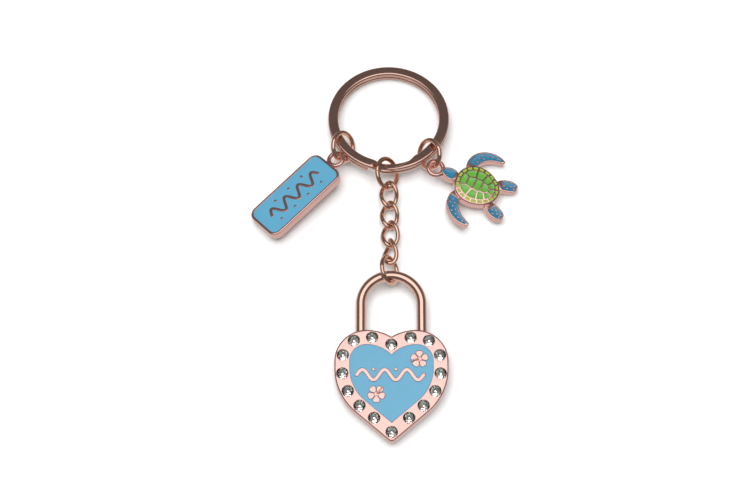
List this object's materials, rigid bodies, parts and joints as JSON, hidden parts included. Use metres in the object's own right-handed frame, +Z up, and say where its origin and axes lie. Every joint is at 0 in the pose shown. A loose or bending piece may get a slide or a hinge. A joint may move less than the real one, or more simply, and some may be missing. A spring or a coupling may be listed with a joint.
{
  "type": "souvenir keychain",
  "caption": "Souvenir keychain: split ring with an enamelled tag, an enamelled sea turtle and a short curb chain to a heart padlock charm set with clear stones.",
  "frame": {"origin": "middle of the base of the whole object's box, as it lies on a table", "axes": "+Z up out of the table, +Y along the chain from the heart towards the split ring, +X to the turtle's side"},
  "size_m": [0.0652, 0.0976, 0.0069],
  "materials": {
    "rose_gold": "polished rose-gold plating",
    "light_blue": "gloss enamel",
    "sea_blue": "gloss enamel",
    "leaf_green": "gloss enamel",
    "lime_green": "gloss enamel",
    "crystal": "faceted clear stone",
    "glue": "cured clear glue"
  },
  "bodies": {
    "split_ring": {"split_ring": "rose_gold"},
    "tag_jump_ring": {"tag_jump_ring": "rose_gold"},
    "tag": {"tag_plate": "rose_gold", "tag_enamel": "light_blue"},
    "turtle_jump_ring": {"turtle_jump_ring": "rose_gold"},
    "turtle": {"turtle_casting": "rose_gold", "turtle_head_enamel": "sea_blue", "front_left_flipper_enamel": "sea_blue", "front_right_flipper_enamel": "sea_blue", "rear_left_flipper_enamel": "sea_blue", "rear_right_flipper_enamel": "sea_blue", "turtle_scute_enamel": "leaf_green", "turtle_rim_enamel": "lime_green"},
    "chain_top_ring": {"chain_top_ring": "rose_gold"},
    "curb_link_1": {"curb_link_1": "rose_gold"},
    "curb_link_2": {"curb_link_2": "rose_gold"},
    "curb_link_3": {"curb_link_3": "rose_gold"},
    "curb_link_4": {"curb_link_4": "rose_gold"},
    "chain_bottom_ring": {"chain_bottom_ring": "rose_gold"},
    "padlock": {"shackle": "rose_gold", "heart_casting": "rose_gold", "heart_enamel": "light_blue", "rhinestones": "crystal", "stone_glue": "glue"}
  },
  "joints": [
    {"name": "tag_ring_run", "type": "hinge", "parent": "split_ring", "child": "tag_jump_ring", "pos_m": [0.00066, 0.03381, 0.0026], "axis": [0, 0.0872, 0.9962], "range_deg": [-100, 15]},
    {"name": "tag_swing", "type": "hinge", "parent": "tag_jump_ring", "child": "tag", "pos_m": [-0.012, 0.02278, 0.00373], "axis": [0.5451, -0.3311, -0.7702], "range_deg": [-30, 30]},
    {"name": "turtle_ring_run", "type": "hinge", "parent": "split_ring", "child": "turtle_jump_ring", "pos_m": [0.00066, 0.03381, 0.0026], "axis": [0, 0.0872, 0.9962], "range_deg": [-15, 100]},
    {"name": "turtle_swing", "type": "hinge", "parent": "turtle_jump_ring", "child": "turtle", "pos_m": [0.01199, 0.02057, 0.00353], "axis": [0.5618, 0.2162, 0.7985], "range_deg": [-30, 30]},
    {"name": "chain_fold", "type": "hinge", "parent": "split_ring", "child": "chain_top_ring", "pos_m": [0.00025, 0.02012, 0.0038], "axis": [1, 0, 0], "range_deg": [-60, 60]},
    {"name": "link_1_bend", "type": "hinge", "parent": "chain_top_ring", "child": "curb_link_1", "pos_m": [0.00025, 0.01507, 0.00275], "axis": [-0.6547, -0.1539, 0.74], "range_deg": [-18, 18]},
    {"name": "link_2_bend", "type": "hinge", "parent": "curb_link_1", "child": "curb_link_2", "pos_m": [0.00069, 0.01017, 0.00205], "axis": [0.7296, 0.0751, -0.6798], "range_deg": [-18, 18]},
    {"name": "link_3_bend", "type": "hinge", "parent": "curb_link_2", "child": "curb_link_3", "pos_m": [0.00082, 0.00513, 0.00158], "axis": [-0.8253, -0.0411, 0.5632], "range_deg": [-18, 18]},
    {"name": "link_4_bend", "type": "hinge", "parent": "curb_link_3", "child": "curb_link_4", "pos_m": [0.00098, 0.00009, 0.0019], "axis": [0.8949, -0.0222, -0.4456], "range_deg": [-18, 18]},
    {"name": "bottom_ring_bend", "type": "hinge", "parent": "curb_link_4", "child": "chain_bottom_ring", "pos_m": [0.00092, -0.00477, 0.00301], "axis": [-0.9983, -0.0101, -0.0567], "range_deg": [-18, 18]},
    {"name": "padlock_swing", "type": "hinge", "parent": "chain_bottom_ring", "child": "padlock", "pos_m": [0.00113, -0.00806, 0.00334], "axis": [1, 0, 0], "range_deg": [-60, 60]}
  ]
}
